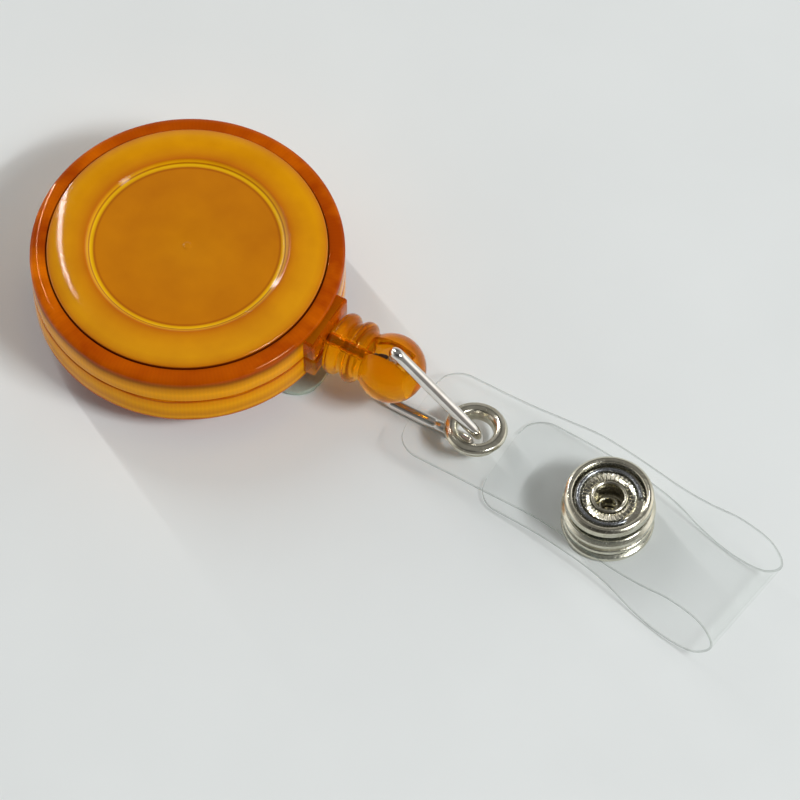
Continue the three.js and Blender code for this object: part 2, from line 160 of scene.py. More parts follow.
def sweep(name, rings, sharp):
    """Joins rings of points into one closed body."""
    count = len(rings[0])
    vertices = [p for ring in rings for p in ring]
    faces = []
    for k in range(len(rings) - 1):
        a, b = k * count, (k + 1) * count
        for i in range(count):
            n = (i + 1) % count
            faces.append((a + i, a + n, b + n, b + i))
    faces.append(tuple(range(count)))
    faces.append(tuple(range(len(vertices) - count, len(vertices))))
    return mesh_object(name, vertices, faces, sharp)


def tube(name, path, radius, sides, round_ends=True):
    """A round wire or cord along points."""
    points = [Vector(p) for p in path]
    tangents = []
    for k in range(len(points)):
        tangents.append((points[min(k + 1, len(points) - 1)] - points[max(k - 1, 0)]).normalized())
    side = tangents[0].orthogonal().normalized()
    sides_at = []
    for k, tangent in enumerate(tangents):
        if k:
            side = tangents[k - 1].rotation_difference(tangent) @ side
        sides_at.append(side.normalized())
    rings = []

    def ring(centre, tangent, side, size):
        other = tangent.cross(side)
        return [centre + (side * math.cos(t) + other * math.sin(t)) * size
                for t in (2 * math.pi * i / sides for i in range(sides))]

    ends = [0.35, 0.7, 0.9] if round_ends else []
    for part in ends:
        out = math.sqrt(1 - part * part) * radius * 0.5
        rings.append(ring(points[0] - tangents[0] * out, tangents[0], sides_at[0], radius * part))
    for k, point in enumerate(points):
        rings.append(ring(point, tangents[k], sides_at[k], radius))
    for part in reversed(ends):
        out = math.sqrt(1 - part * part) * radius * 0.5
        rings.append(ring(points[-1] + tangents[-1] * out, tangents[-1], sides_at[-1],
                          radius * part))
    return sweep(name, rings, sharp=40)


def ribbon(name, samples, thickness, edge, across_steps):
    """A flat strip. samples are (middle, across, up, half width)."""
    rings = []
    half = thickness / 2
    for middle, across, up, width in samples:
        flat = width - half
        ring = []
        for over, out in ((up, across), (-up, -across)):
            for k in range(across_steps + 1):
                ring.append(middle + out * (-flat + 2 * flat * k / across_steps) + over * half)
            for k in range(1, edge):
                turn = math.pi * k / edge
                ring.append(middle + out * (flat + half * math.sin(turn))
                            + over * half * math.cos(turn))
        rings.append(ring)
    return sweep(name, rings, sharp=50)


PATH_STEP = 0.7


def rounded_path(corners, radius, steps=9):
    """Straight runs with their corners rounded, as the wire is bent."""
    corners = [Vector(c) for c in corners]
    path = [corners[0]]
    for k in range(1, len(corners) - 1):
        here = corners[k]
        enter = here + (corners[k - 1] - here).normalized() * radius
        leave = here + (corners[k + 1] - here).normalized() * radius
        start = path[-1]
        fill = int((enter - start).length / PATH_STEP)
        for i in range(1, fill):
            path.append(start.lerp(enter, i / fill))
        for i in range(steps + 1):
            t = i / steps
            path.append(enter * (1 - t) ** 2 + here * 2 * t * (1 - t) + leave * t * t)
    start = path[-1]
    fill = max(2, int((corners[-1] - start).length / PATH_STEP))
    path += [start.lerp(corners[-1], i / fill) for i in range(1, fill + 1)]
    return path


def smooth_line(points, per):
    """A centripetal Catmull-Rom curve through points."""
    points = [Vector(p) for p in points]
    ends = [points[0] * 2 - points[1]] + points + [points[-1] * 2 - points[-2]]
    line = []
    for k in range(1, len(ends) - 2):
        p = ends[k - 1:k + 3]
        t = [0]
        for a, b in zip(p, p[1:]):
            t.append(t[-1] + max((b - a).length, 1e-6) ** 0.5)
        for i in range(per + (1 if k == len(ends) - 3 else 0)):
            u = t[1] + (t[2] - t[1]) * i / per
            a = [p[j] * ((t[j + 1] - u) / (t[j + 1] - t[j]))
                 + p[j + 1] * ((u - t[j]) / (t[j + 1] - t[j])) for j in range(3)]
            b = [a[j] * ((t[j + 2] - u) / (t[j + 2] - t[j]))
                 + a[j + 1] * ((u - t[j]) / (t[j + 2] - t[j])) for j in range(2)]
            line.append(b[0] * ((t[2] - u) / (t[2] - t[1])) + b[1] * ((u - t[1]) / (t[2] - t[1])))
    return line


def block(name, low, high, bevel):
    """A rounded block between two corners."""
    corners = [(x, y, z) for x in (low[0], high[0]) for y in (low[1], high[1])
               for z in (low[2], high[2])]
    faces = [(0, 1, 3, 2), (4, 6, 7, 5), (0, 4, 5, 1), (2, 3, 7, 6), (0, 2, 6, 4), (1, 5, 7, 3)]
    obj = mesh_object(name, corners, faces)
    work = bmesh.new()
    work.from_mesh(obj.data)
    bmesh.ops.bevel(work, geom=work.edges[:], offset=bevel * MM, segments=4, profile=0.5,
                    affect="EDGES", clamp_overlap=True)
    work.to_mesh(obj.data)
    work.free()
    shade(obj)
    return obj


def carve(obj, operation, *tools, sharp=32):
    """Joins or cuts obj with the tools, which are used up."""
    for tool in tools:
        step = obj.modifiers.new("carve", "BOOLEAN")
        step.operation = operation
        step.solver = "EXACT"
        step.object = tool
    bpy.context.view_layer.update()
    graph = bpy.context.evaluated_depsgraph_get()
    mesh = bpy.data.meshes.new_from_object(obj.evaluated_get(graph))
    obj.modifiers.clear()
    old = obj.data
    obj.data = mesh
    bpy.data.meshes.remove(old)
    for tool in tools:
        bpy.data.objects.remove(tool)
    work = bmesh.new()
    work.from_mesh(obj.data)
    bmesh.ops.remove_doubles(work, verts=work.verts, dist=2e-7)
    bmesh.ops.dissolve_degenerate(work, edges=work.edges, dist=1e-8)
    work.to_mesh(obj.data)
    work.free()
    shade(obj, sharp)


# ---------------------------------------------------------------- materials
def srgb(red, green, blue):
    def linear(value):
        value /= 255
        return value / 12.92 if value <= 0.04045 else ((value + 0.055) / 1.055) ** 2.4
    return (linear(red), linear(green), linear(blue), 1)


def set_inputs(node, numbers):
    for socket, number in numbers.items():
        node.inputs[socket].default_value = number


def set_stops(node, stops):
    """Gives a colour ramp its (position, colour) stops."""
    elements = node.color_ramp.elements
    while len(elements) < len(stops):
        elements.new(0.5)
    for element, (position, color) in zip(elements, stops):
        element.position = position
        element.color = color


class Look:
    """A node material on the drawing's coordinates in millimetres."""

    def __init__(self, name, **sockets):
        self.material = bpy.data.materials.new(name)
        self.material.use_nodes = True
        self.tree = self.material.node_tree
        self.shader = self.tree.nodes["Principled BSDF"]
        for key, value in sockets.items():
            self.shader.inputs[key.replace("_", " ")].default_value = value
        coordinates = self.tree.nodes.new("ShaderNodeTexCoord")
        mapping = self.node("ShaderNodeMapping")
        self.tree.links.new(coordinates.outputs["Object"], mapping.inputs["Vector"])
        set_inputs(mapping, {"Scale": (1 / MM,) * 3, "Location": -CASE / MM})
        self.place = mapping.outputs["Vector"]

    def node(self, kind, **settings):
        found = self.tree.nodes.new(kind)
        for key, value in settings.items():
            setattr(found, key, value)
        return found

    def link(self, source, target):
        self.tree.links.new(source, target)

    def feed(self, node, socket, value):
        if isinstance(value, bpy.types.NodeSocket):
            self.tree.links.new(value, node.inputs[socket])
        else:
            node.inputs[socket].default_value = value

    def math(self, operation, a, b=0.0, clamp=False):
        node = self.node("ShaderNodeMath", operation=operation, use_clamp=clamp)
        self.feed(node, 0, a)
        self.feed(node, 1, b)
        return node.outputs[0]

    def stretched(self, scale, turn=(0, 0, 0)):
        node = self.node("ShaderNodeMapping")
        self.link(self.place, node.inputs["Vector"])
        set_inputs(node, {"Scale": scale, "Rotation": turn})
        return node.outputs["Vector"]

    def noise(self, scale, detail, rough=0.5, vector=None):
        node = self.node("ShaderNodeTexNoise")
        self.link(vector or self.place, node.inputs["Vector"])
        set_inputs(node, {"Scale": scale, "Detail": detail, "Roughness": rough})
        return node.outputs["Fac"]

    def split(self):
        """x, y and height, in the drawing's millimetres."""
        node = self.node("ShaderNodeSeparateXYZ")
        self.link(self.place, node.inputs[0])
        return node.outputs

    def radius_squared(self):
        x, y, _ = self.split()
        return self.math("ADD", self.math("MULTIPLY", x, x), self.math("MULTIPLY", y, y))

    def radius(self):
        return self.math("SQRT", self.radius_squared())

    def spread(self, value, low, high, to_low=0.0, to_high=1.0):
        node = self.node("ShaderNodeMapRange")
        self.feed(node, "Value", value)
        set_inputs(node, {"From Min": low, "From Max": high, "To Min": to_low, "To Max": to_high})
        return node.outputs["Result"]

    def ramp(self, value, stops):
        node = self.node("ShaderNodeValToRGB")
        self.feed(node, "Fac", value)
        set_stops(node, stops)
        return node.outputs["Color"]

    def mix(self, factor, a, b, blend="MIX"):
        node = self.node("ShaderNodeMix", data_type="RGBA", blend_type=blend)
        self.feed(node, 0, factor)
        self.feed(node, 6, a)
        self.feed(node, 7, b)
        return node.outputs[2]

    def bump(self, height, strength, distance):
        node = self.node("ShaderNodeBump")
        set_inputs(node, {"Strength": strength, "Distance": distance * MM})
        self.link(height, node.inputs["Height"])
        self.link(node.outputs["Normal"], self.shader.inputs["Normal"])

    def color(self, value):
        self.feed(self.shader, "Base Color", value)

    def rough(self, value):
        self.feed(self.shader, "Roughness", value)


def paint(obj, look):
    obj.data.materials.clear()
    obj.data.materials.append(look.material)


def fine_marks(look, scale, low, high):
    """Roughness from faint scuffs and moulding haze."""
    haze = look.noise(scale, 4.0, 0.6)
    streak = look.noise(3.0, 2.0, 0.5, look.stretched((0.15, 6.0, 0.6), (0, 0, 0.7)))
    both = look.math("ADD", look.math("MULTIPLY", haze, 0.6), look.math("MULTIPLY", streak, 0.4))
    look.rough(look.spread(both, 0.35, 0.65, low, high))


# The stops of the disc's look are parts of this radius.
FACE_RADIUS = 15
# The disc's painted edge shade fades out between these heights.
FACE_EDGE_SHADE = (10.66, 10.86)


def amber_face():
    """The disc: amber, darker in the label recess, with painted highlights and painted shade round
    the recess lip, painted light and shade across the dome and painted shade at its edge.
    """
    look = Look("amber_face", Roughness=0.08, IOR=1.5, Specular_IOR_Level=0.36)
    radius = look.radius()
    # Painted light and shade by radius: thin painted highlights and dark painted shade lines round
    # the recess lip, then a painted lighter band across the dome that darkens towards the edge.
    stops = [
        (0.0, srgb(206, 128, 1)), (0.40, srgb(203, 122, 1)), (0.615, srgb(204, 122, 1)),
        (0.63, srgb(176, 90, 1)), (0.642, srgb(236, 172, 3)), (0.656, srgb(244, 190, 6)),
        (0.664, srgb(178, 92, 1)), (0.672, srgb(236, 170, 3)), (0.69, srgb(200, 108, 1)),
        (0.74, srgb(214, 134, 1)), (0.80, srgb(222, 146, 1)), (0.885, srgb(226, 152, 1)),
        (0.925, srgb(218, 140, 1)), (0.945, srgb(206, 120, 1)),
    ]
    ring = look.ramp(look.spread(radius, 0, FACE_RADIUS), stops)
    cloud = look.ramp(look.noise(0.22, 3.0),
                      [(0.3, (0.92, 0.87, 0.88, 1)), (0.7, (1.05, 1.08, 1.0, 1))])
    tinted = look.mix(1.0, ring, cloud, "MULTIPLY")
    # Painted shade at the disc's edge, where it meets the rim.
    edge = look.spread(look.split()[2], *FACE_EDGE_SHADE)
    look.color(look.mix(edge, srgb(112, 38, 2), tinted))
    fine_marks(look, 1.4, 0.04, 0.12)
    scratch = look.noise(2.5, 2.0, 0.5, look.stretched((0.25, 5.0, 1.0), (0, 0, 1.1)))
    look.bump(look.math("ADD", scratch, look.noise(0.5, 2.0)), 0.10, 0.04)
    return look


# Painted light: how strongly the wall gives out light of its own, standing in for the light that
# comes through it from inside the case.
PAINTED_WALL_GLOW = 0.13
# Fine upright ridges moulded inside the wall.
RIDGES = 240
# The bands of the wall lie between its lowest point and its top.
WALL_HEIGHTS = (3.0, 10.7)
# The wall gives way to the rim between these heights.
RIM_STARTS = (9.7, 10.3)
# The rim is painted lighter at the two sides of the case that lie along this direction.
PAINTED_LIGHT_SIDES = (0.866, 0.5)


def amber_shell(name, gloss):
    """The case wall: painted bands of light and shade, one above the other, stand in for light
    refracted inside it.

    The rim on top is painted darker, with painted light at two of its sides, and the wall gives out
    painted light.
    """
    look = Look(name, Roughness=0.05, IOR=1.5, Transmission_Weight=0.03, Specular_IOR_Level=gloss,
                Specular_Tint=(1.0, 0.7, 0.35, 1), Emission_Strength=PAINTED_WALL_GLOW)
    height = look.split()[2]
    wobble = look.math("MULTIPLY", look.math("SUBTRACT", look.noise(0.13, 2.0), 0.5), 1.1)
    level = look.math("ADD", height, wobble)
    # Painted light and shade in bands by height: dark at the bottom edge, a painted highlight line
    # low down, a dark line at the seam, and darker towards the rim at the top.
    stops = [
        (0.0, srgb(150, 54, 2)), (0.08, srgb(176, 78, 2)), (0.14, srgb(224, 156, 2)),
        (0.20, srgb(204, 128, 1)), (0.34, srgb(226, 154, 1)), (0.47, srgb(216, 134, 1)),
        (0.515, srgb(166, 70, 2)), (0.54, srgb(216, 138, 1)), (0.68, srgb(232, 158, 1)),
        (0.80, srgb(196, 122, 1)), (0.87, srgb(142, 76, 1)), (0.93, srgb(164, 62, 1)),
        (1.0, srgb(176, 68, 1)),
    ]
    bands = look.ramp(look.spread(level, *WALL_HEIGHTS), stops)
    x, y, _ = look.split()
    along = look.math("ADD", *(look.math("MULTIPLY", place, part)
                               for place, part in zip((x, y), PAINTED_LIGHT_SIDES)))
    at_sides = look.math("DIVIDE", look.math("MULTIPLY", along, along), look.radius_squared())
    # Painted light on the rim at the two sides, broken into patches by noise.
    painted_side_light = look.math("MULTIPLY", look.spread(look.noise(0.17, 3.0, 0.6), 0.36, 0.66),
                     look.spread(at_sides, -0.3, 0.8))
    on_top = look.spread(height, *RIM_STARTS)
    amber = look.mix(look.math("MULTIPLY", painted_side_light, on_top), bands, srgb(232, 116, 2))
    ridges = look.math("SINE", look.math("MULTIPLY", look.math("ARCTAN2", y, x), RIDGES))
    # Painted shade: the wall is a little darker in a fine stripe at each ridge.
    shade_of_ridges = look.ramp(look.spread(ridges, -1, 1),
                                [(0.0, (0.96, 0.95, 0.95, 1)), (1.0, (1.0, 1.0, 1.0, 1))])
    amber = look.mix(1.0, amber, shade_of_ridges, "MULTIPLY")
    look.color(amber)
    # Painted light: the wall gives out light in its own colour, the rim on top none.
    look.feed(look.shader, "Emission Color", look.mix(on_top, amber, (0, 0, 0, 1)))
    fine_marks(look, 1.0, 0.03, 0.08)
    uneven = look.math("ADD", look.noise(0.35, 2.0), look.math("MULTIPLY", ridges, 0.12))
    look.bump(uneven, 0.08, 0.05)
    return look


def amber_clear(name, clear, deep):
    """Solid clear amber, painted paler towards its underside, where light from the floor comes up
    through it, with a little haze in it.
    """
    look = Look(name, Roughness=0.02, IOR=1.36, Transmission_Weight=clear, Specular_IOR_Level=0.2,
                Specular_Tint=(1.0, 0.6, 0.15, 1))
    cloud = look.math("MULTIPLY", look.math("SUBTRACT", look.noise(0.5, 3.0), 0.5), 3.0)
    level = look.spread(look.math("ADD", look.split()[2], cloud), 4.0, 10.5)
    look.color(look.ramp(level, [(0.1, (1.0, 0.50, 0.001, 1)), (0.55, (1.0, 0.36, 0.001, 1)),
                                 (0.95, deep)]))
    fine_marks(look, 1.0, 0.015, 0.05)
    look.bump(look.noise(0.8, 2.0), 0.04, 0.05)
    return look


def metal(name, base, worn, roughness, grain=None, marks=0.5, metallic=1.0):
    """Plated metal with uneven polish, faint tarnish and hairline marks."""
    look = Look(name, Metallic=metallic)
    tarnish = look.noise(0.6, 4.0, 0.6)
    look.color(look.ramp(tarnish, [(0.35, base), (0.72, worn)]))
    vector = look.stretched(grain, (0, 0, 0.4)) if grain else None
    hair = look.noise(4.0, 3.0, 0.6, vector)
    look.rough(look.spread(hair, 0.3, 0.7, roughness * 0.7, roughness * 1.5))
    look.bump(look.math("ADD", look.noise(1.2, 3.0), hair), marks * 0.1, 0.02)
    return look


def braided(name):
    """Fine braided cord: two crossing sets of slanted strands."""
    look = Look(name, Roughness=0.62, Sheen_Weight=0.25, Sheen_Roughness=0.4)
    strands = []
    for slant in (1, -1):
        wave = look.node("ShaderNodeTexWave", wave_type="BANDS", bands_direction="DIAGONAL")
        look.link(look.stretched((1.0, slant, 1.0)), wave.inputs["Vector"])
        wave.inputs["Scale"].default_value = 1.6
        strands.append(wave.outputs["Fac"])
    weave = look.math("MAXIMUM", strands[0], strands[1])
    look.color(look.ramp(weave, [(0.2, (0.004, 0.004, 0.005, 1)), (0.9, (0.03, 0.03, 0.034, 1))]))
    look.bump(weave, 0.7, 0.06)
    return look


def spool_plastic():
    look = Look("spool_plastic", Roughness=0.4, IOR=1.47)
    look.color(look.ramp(look.noise(0.3, 4.0),
                         [(0.3, srgb(222, 176, 96)), (0.7, srgb(236, 198, 124))]))
    look.rough(look.spread(look.noise(1.5, 3.0), 0.3, 0.7, 0.3, 0.5))
    look.bump(look.noise(2.5, 3.0), 0.15, 0.04)
    return look


def vinyl(name, alpha, tint):
    """Clear flexible sheet: see-through face on, more of it seen at a slant."""
    look = Look(name, Roughness=0.07, IOR=1.45)
    darker = [c * 0.94 for c in tint[:3]] + [1]
    look.color(look.ramp(look.noise(0.12, 3.0), [(0.3, tint), (0.7, darker)]))
    slant = look.node("ShaderNodeLayerWeight")
    slant.inputs["Blend"].default_value = 0.35
    cloud = look.math("MULTIPLY", look.noise(0.4, 3.0), 0.026)
    seen = look.math("ADD", look.spread(slant.outputs["Facing"], 0.0, 1.0, *alpha), cloud, True)
    look.link(seen, look.shader.inputs["Alpha"])
    look.rough(look.spread(look.noise(0.8, 4.0), 0.3, 0.7, 0.10, 0.22))
    look.bump(look.noise(0.25, 2.0), 0.12, 0.2)
    return look


FACE = amber_face()
RIM = amber_shell("amber_rim", 0.16)
WALL = amber_shell("amber_wall", 0.05)
CLEAR = amber_clear("amber_clear", 0.82, (0.95, 0.24, 0.001, 1))
BOSS = amber_clear("amber_boss", 0.78, (0.92, 0.20, 0.001, 1))
NICKEL = metal("bright_nickel", (0.74, 0.71, 0.60, 1), (0.56, 0.53, 0.41, 1), 0.19)
LINK_NICKEL = metal("polished_wire", (0.84, 0.81, 0.77, 1), (0.72, 0.68, 0.62, 1), 0.10,
                    (0.2, 3, 3), 0.3)
# The clip's satin plating scatters light like paint, so it is hardly metallic.
CLIP_STEEL = metal("satin_steel", srgb(184, 199, 184), srgb(164, 176, 160), 0.36,
                   (0.15, 4, 4), 0.8, metallic=0.1)
SPRING_STEEL = metal("spring_steel", (0.42, 0.44, 0.47, 1), (0.30, 0.31, 0.33, 1), 0.22,
                     (1, 1, 4), 0.6)
CORD = braided("braided_nylon")
SPOOL = spool_plastic()
VINYL = vinyl("clear_vinyl", (0.0, 0.115), (0.60, 0.69, 0.62, 1))
VINYL_EDGE = vinyl("vinyl_edge", (0.22, 0.62), (0.24, 0.30, 0.25, 1))


def piece(obj, look, slot, body, *nodes):
    """Gives a shape its look, the body it moves with and the CAD nodes it stands for."""
    paint(obj, look)
    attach(obj, body)
    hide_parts(*nodes)


# ---------------------------------------------------------------- case
CORD_AXIS = drawn(middle_of("cord_lead")).z
CASE_RADIUS = (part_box("front_shell")[1].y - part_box("front_shell")[0].y) / 2 / MM
BOSS_END = drawn(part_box("front_shell")[1]).x
BOSS_HALF_WIDTH = 3.4
BOSS_HALF_HEIGHT = 2.85
BOSS_BEVEL = 0.34
INNER = CASE_RADIUS - 1.3
RIM_TOP = drawn(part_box("front_shell")[1]).z
CASE_BOTTOM = drawn(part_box("back_shell")[0]).z
# Half of the gap between the two shells.
SEAM = 0.05
CASE_STEPS = 192
# How far the rim's rounding reaches inwards and downwards.
RIM_ROUND = (1.2, 0.5)


def bore():
    """The cord's way out, flared at both ends."""
    profile = [(0, INNER - 1), (2.2, INNER - 1), (1.2, CASE_RADIUS - 0.4), (1.2, BOSS_END - 0.5),
               (1.4, BOSS_END - 0.15), (1.85, BOSS_END + 0.3), (0, BOSS_END + 0.3)]
    place = Matrix.Translation((0, 0, CORD_AXIS)) @ ALONG_X
    return lathe("bore_cut", profile, 48, place)


def boss(low, high):
    return block("boss_half", (INNER - 0.3, -BOSS_HALF_WIDTH, low),
                 (BOSS_END, BOSS_HALF_WIDTH, high), BOSS_BEVEL)


def shell_looks(shell):
    """The boss is solid clear amber and the rim above the wall is glossier than the wall."""
    shell.data.materials.append(BOSS.material)
    shell.data.materials.append(RIM.material)
    for face in shell.data.polygons:
        x, y, z = drawn(face.center)
        in_boss = x > INNER + 0.3 and abs(y) < BOSS_HALF_WIDTH + 0.05
        if in_boss and math.hypot(x, y) > CASE_RADIUS + 0.03:
            face.material_index = 1
        elif z > RIM_TOP - RIM_ROUND[1]:
            face.material_index = 2


rim = [(CASE_RADIUS - RIM_ROUND[0] * (1 - math.cos(t)), RIM_TOP - RIM_ROUND[1] * (1 - math.sin(t)))
       for t in np.linspace(0, math.pi / 2, 14)]
front = lathe("front_shell_v", fillet([
    (INNER, CORD_AXIS + SEAM, 0.1), (CASE_RADIUS, CORD_AXIS + SEAM, 0.14), *rim,
    (14.35, RIM_TOP, 0.12), (14.35, 9.6, 0.12), (13.4, 9.6, 0.1), (13.4, 9.0, 0.1),
    (INNER, 9.0, 0.2),
]), CASE_STEPS)
carve(front, "UNION", boss(CORD_AXIS + SEAM, CORD_AXIS + BOSS_HALF_HEIGHT))
carve(front, "DIFFERENCE", bore())
piece(front, WALL, "amber_plastic", "housing", "front_shell")
shell_looks(front)

back = lathe("back_shell_v", fillet([
    (1.1, CASE_BOTTOM, 0.1), (13.6, CASE_BOTTOM, 0.2), (13.8, CASE_BOTTOM + 0.25, 0.15),
    (14.4, CASE_BOTTOM + 0.25, 0.15), (14.6, CASE_BOTTOM, 0.15), (CASE_RADIUS, CASE_BOTTOM, 0.8),
    (CASE_RADIUS, CORD_AXIS - SEAM, 0.14), (INNER, CORD_AXIS - SEAM, 0.1), (INNER, 4.3, 0.4),
    (3.0, 4.3, 0.2), (3.0, 9.2, 0.2), (2.1, 9.2, 0.2), (2.1, 4.3, 0.1), (1.1, 4.3, 0.1),
]), CASE_STEPS)
carve(back, "UNION", boss(CORD_AXIS - BOSS_HALF_HEIGHT, CORD_AXIS - SEAM))
carve(back, "DIFFERENCE", bore(), block("post_slot", (-4, -0.3, 5.4), (-1.2, 0.3, 10), 0.05))
piece(back, WALL, "amber_plastic", "housing", "back_shell")
shell_looks(back)

DISC_RADIUS = 14.25
DISC_BOTTOM = 9.65
DISC_EDGE_TOP = 10.85
DISC_TOP = 11.4
RECESS_FLOOR = 11.0
NUB_TOP = 11.09
dome = [(DISC_RADIUS - 3.8 * t, DISC_EDGE_TOP + (DISC_TOP - DISC_EDGE_TOP) * (1 - (1 - t) ** 3), 0)
        for t in np.linspace(0, 1, 19)]
disc = lathe("face_disc_v", fillet(
    [(0, DISC_BOTTOM), (DISC_RADIUS, DISC_BOTTOM, 0.1), (*dome[0][:2], 0.2)] + dome[1:-1]
    + [(10.4, DISC_TOP, 0.33), (9.8, RECESS_FLOOR, 0.33), (0.5, RECESS_FLOOR, 0.1),
       (0.3, NUB_TOP, 0.1), (0, NUB_TOP)],
    closed=False), CASE_STEPS, sharp=40)
piece(disc, FACE, "amber_plastic", "housing", "face_disc")

# ---------------------------------------------------------------- what is inside the case
for node, look, slot in (("spool", SPOOL, "white_plastic"),
                         ("power_spring", SPRING_STEEL, "spring_steel"),
                         ("wound_cord", CORD, "black_nylon")):
    paint(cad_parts[node], look)

CORD_RADIUS = 0.4
run = smooth_line([(9.7, -7.1, CORD_AXIS), (11.9, -4.2, CORD_AXIS), (13.6, -1.9, CORD_AXIS),
                   (14.8, -0.6, CORD_AXIS), (15.4, -0.2, CORD_AXIS)], 8)
piece(tube("cord_run_v", run, CORD_RADIUS, 12), CORD, "black_nylon", "housing", "cord_run")

# ---------------------------------------------------------------- clip
CLIP_HALF_WIDTH = 4.5
CLIP_STEEL_THICK = 0.6
FOLD_X = -13.9
FOLD_MIDDLE = 1.475
FOLD_RADIUS = FOLD_MIDDLE - CLIP_STEEL_THICK / 2
CLIP_BASE_END = 8.5
CLIP_CORNER = 2.8


def cut_corner(radius, left):
    """How much a strip's half width loses at this distance from its end to round the corners."""
    if left >= radius:
        return 0
    return radius - math.sqrt(max(radius ** 2 - (radius - left) ** 2, 0))


def clip_strip(name, line):
    """A steel strip along points of its middle line, with the corners of its free end rounded."""
    points = [Vector((x, 0, z)) for x, z in line]
    lengths = [0]
    for a, b in zip(points, points[1:]):
        lengths.append(lengths[-1] + (b - a).length)
    samples = []
    for k, point in enumerate(points):
        tangent = (points[min(k + 1, len(points) - 1)] - points[max(k - 1, 0)]).normalized()
        width = CLIP_HALF_WIDTH - cut_corner(CLIP_CORNER, lengths[-1] - lengths[k])
        across = Vector((0, 1, 0))
        samples.append((point, across, tangent.cross(across), width))
    return ribbon(name, samples, CLIP_STEEL_THICK, 4, 8)


DENSE_STEP = 0.22


def dense(line):
    """Adds points along a line so that a strip's rounded corners come out smooth."""
    points = [Vector(p) for p in line]
    out = [points[0]]
    for a, b in zip(points, points[1:]):
        count = max(1, int((b - a).length / DENSE_STEP))
        out += [a.lerp(b, i / count) for i in range(1, count + 1)]
    return [tuple(p) for p in out]


def round_hole(name, radius, bottom, top, steps=48, place=None):
    """A cylinder to cut a hole with."""
    return lathe(name, [(0, bottom), (radius, bottom), (radius, top), (0, top)], steps, place)


fold = [(FOLD_X - FOLD_RADIUS * math.sin(t), FOLD_MIDDLE - FOLD_RADIUS * math.cos(t))
        for t in np.linspace(0, math.pi, 22)]
base = clip_strip("clip_base_v", dense(fold + [(CLIP_BASE_END, FOLD_MIDDLE + FOLD_RADIUS)]))
carve(base, "DIFFERENCE", round_hole("rivet_hole", 1.08, 1, 4), sharp=50)
piece(base, CLIP_STEEL, "clip_steel", "housing", "clip_base")

TONGUE_LOW = CLIP_STEEL_THICK / 2
TONGUE_HUMP = 1.65
tongue_line = fillet([
    (FOLD_X + 0.04, TONGUE_LOW), (3.35, TONGUE_LOW, 3), (6.75, TONGUE_HUMP, 1.2),
    (7.85, TONGUE_HUMP, 1.2), (11.15, TONGUE_LOW, 3), (16.55, TONGUE_LOW),
], closed=False, steps=8)
tongue = clip_strip("clip_tongue_v", dense(tongue_line))
piece(tongue, CLIP_STEEL, "clip_steel", "clip_tongue", "clip_tongue")

piece(lathe("clip_rivet_v", fillet([
    (0.6, 1.9, 0.15), (1.9, 1.9, 0.2), (2.2, 2.1, 0.12), (2.2, 2.3, 0.03), (1.0, 2.3), (1.0, 4.35),
    (1.8, 4.35), (1.8, 4.7, 0.1), (0.6, 4.7, 0.1),
]), 64), NICKEL, "nickel", "housing", "clip_rivet")

# ---------------------------------------------------------------- fitting at the cord's end
fitting_low, fitting_high = (drawn(p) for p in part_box("cord_end_fitting"))
BALL_RADIUS = 3.55
BALL_X = fitting_high.x - BALL_RADIUS
RIBS = (18.2, 20.2)
RIB_TUBE = 0.8
RIB_RADIUS = 3.33
NECK_RADIUS = 2.3
BALL_START = 21.45
BALL_SLOT_HALF = 1.12


def along_ball():
    """The fitting's outline of (radius, x): neck, ribs and ball."""
    profile = [(0, fitting_low.x), (NECK_RADIUS - 0.3, fitting_low.x),
               (NECK_RADIUS, fitting_low.x + 0.25)]
    for x in RIBS:
        for angle in np.linspace(168, 12, 12):
            turn = math.radians(angle)
            profile.append((RIB_RADIUS - RIB_TUBE + RIB_TUBE * math.sin(turn),
                            x + RIB_TUBE * math.cos(turn)))
    start = math.acos((BALL_START - BALL_X) / BALL_RADIUS)
    for turn in np.linspace(start, 0, 32):
        profile.append((BALL_RADIUS * math.sin(turn), BALL_X + BALL_RADIUS * math.cos(turn)))
    profile[-1] = (0, BALL_X + BALL_RADIUS)
    return profile


def prism_y(name, outline, half_width):
    """An outline of (x, height), made solid along y."""
    count = len(outline)
    vertices = [(x, y, z) for y in (-half_width, half_width) for x, z in outline]
    faces = [tuple(range(count)), tuple(range(count, 2 * count))]
    faces += [(k, (k + 1) % count, (k + 1) % count + count, k + count) for k in range(count)]
    return mesh_object(name, vertices, faces)


axis_place = Matrix.Translation((0, 0, CORD_AXIS)) @ ALONG_X
fitting = lathe("cord_end_fitting_v", along_ball(), 96, axis_place, sharp=50)
slot_outline = fillet([(-2.7, -4.6), (2.6, -4.6), (1.6, 0, 3), (2.6, 4.6), (-2.7, 4.6),
                       (-2.4, 0, 3)])
slot_cut = prism_y("slot_cut", [(BALL_X + x, CORD_AXIS + z) for x, z in slot_outline],
                   BALL_SLOT_HALF)
hole_cut = round_hole("hole_cut", 0.55, 16, 23, 32, axis_place)
carve(fitting, "DIFFERENCE", slot_cut, hole_cut, sharp=40)
piece(fitting, CLEAR, "amber_plastic", "cord_end", "cord_end_fitting")

lead_end = drawn(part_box("cord_lead")[1]).x
lead = [(x, 0, CORD_AXIS) for x in np.linspace(18.5, lead_end, 12)]
piece(tube("cord_lead_v", lead, CORD_RADIUS, 14, False), CORD, "black_nylon", "cord_end",
      "cord_lead")

